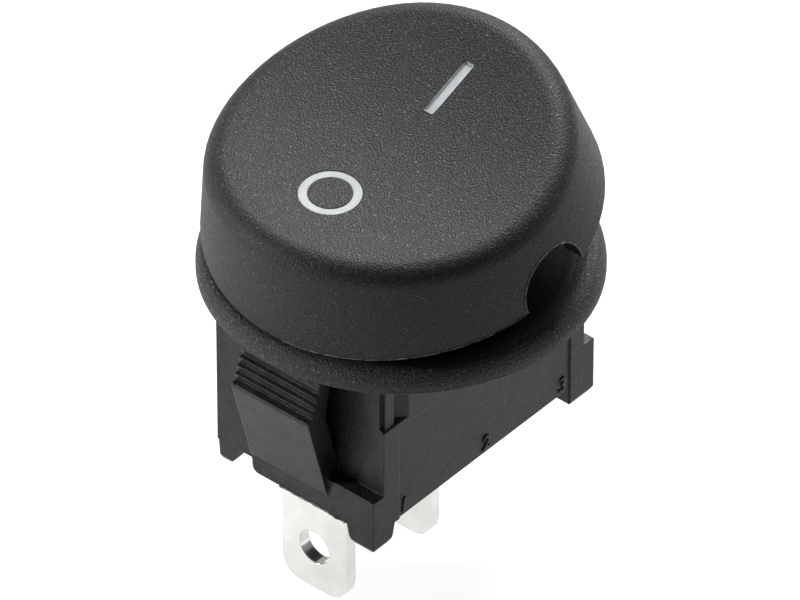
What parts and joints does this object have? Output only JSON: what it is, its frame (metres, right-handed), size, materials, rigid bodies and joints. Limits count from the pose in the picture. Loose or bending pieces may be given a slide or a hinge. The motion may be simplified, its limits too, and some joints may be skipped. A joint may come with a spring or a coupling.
{
  "type": "panel rocker switch",
  "caption": "Round snap-in panel rocker switch, on-off, with a tilting dished cap, flanged box housing and blade terminals.",
  "frame": {"origin": "centre of the flange underside, where it meets the panel", "axes": "+Z out of the panel, towards the user; +X towards the ON end; +Y along the rocker axle"},
  "size_m": [0.0232, 0.0232, 0.0317],
  "materials": {
    "cap_plastic": "matte, spark-textured",
    "housing_plastic": "satin",
    "plunger_plastic": "satin",
    "spring_steel": "polished",
    "lever_brass": "satin",
    "contact_silver": "satin",
    "terminal_nickel": "bright plated"
  },
  "bodies": {
    "base": {"housing": "housing_plastic", "common_terminal": "terminal_nickel", "end_terminal": "terminal_nickel", "fixed_contact": "contact_silver"},
    "rocker_body": {"rocker": "cap_plastic"},
    "plunger_body": {"plunger": "plunger_plastic", "plunger_spring": "spring_steel"},
    "lever_body": {"contact_lever": "lever_brass", "moving_contact": "contact_silver"}
  },
  "joints": [
    {"name": "rocker_tilt", "type": "hinge", "parent": "base", "child": "rocker_body", "pos_m": [0, 0, 0.0048], "axis": [0, 1, 0], "range_deg": [0, 26]},
    {"name": "plunger_slide", "type": "slide", "parent": "rocker_body", "child": "plunger_body", "axis": [0.225, 0, -0.9744], "range_m": [-0.0009, 0], "stiffness_N_per_m": 300, "springref_m": 0.002, "deforming": ["plunger_spring"]},
    {"name": "lever_rock", "type": "hinge", "parent": "base", "child": "lever_body", "pos_m": [0.00015, 0, -0.004], "axis": [0, 1, 0], "range_deg": [-13, 0]}
  ],
  "couplings": [
    {"joint": "lever_rock", "follows": "rocker_tilt", "ratio": -0.5}
  ]
}
